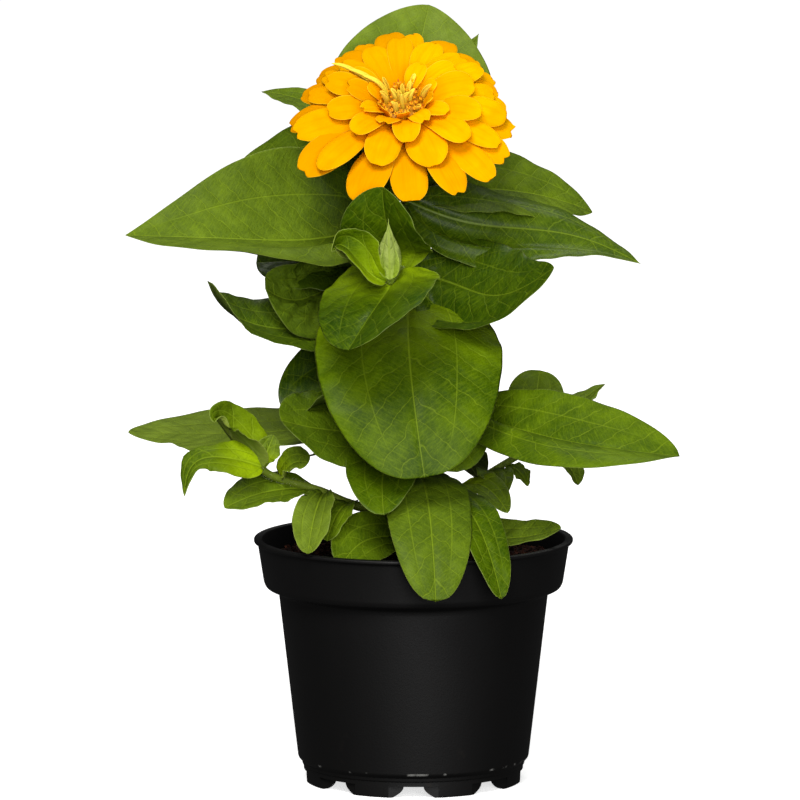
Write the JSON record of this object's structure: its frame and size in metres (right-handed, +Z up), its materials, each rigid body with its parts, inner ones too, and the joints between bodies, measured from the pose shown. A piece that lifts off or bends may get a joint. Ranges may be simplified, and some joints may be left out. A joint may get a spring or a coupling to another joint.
{
  "type": "potted zinnia flower",
  "caption": "Leafy zinnia plant with a double yellow bloom, rooted in soil in a plain round black nursery pot that stands on a flat base.",
  "frame": {"origin": "on the pot's axis at the ground, in the underside of the pot's central foot pad", "axes": "+Z up along the pot's axis, -Y to the front, towards which the bloom nods, +X to the right seen from the front"},
  "size_m": [0.2056, 0.1669, 0.2892],
  "materials": {
    "pot_plastic": "black moulded plastic, satin",
    "potting_soil": "dark crumbly potting soil",
    "leaf_green": "leaf, satin with paler veins",
    "shoot_green": "young leaf, satin",
    "bract_green": "green scales with dark edges",
    "petal_yellow": "petal, velvety matt",
    "floret_orange": "small florets, matt"
  },
  "bodies": {
    "root": {"pot": "pot_plastic", "soil": "potting_soil", "main_stem": "leaf_green", "front_shoot": "shoot_green", "left_shoot": "shoot_green", "right_shoot": "shoot_green", "back_shoot": "shoot_green", "bloom_bracts": "bract_green", "ray_petals": "petal_yellow", "disc_florets": "floret_orange"}
  },
  "joints": []
}
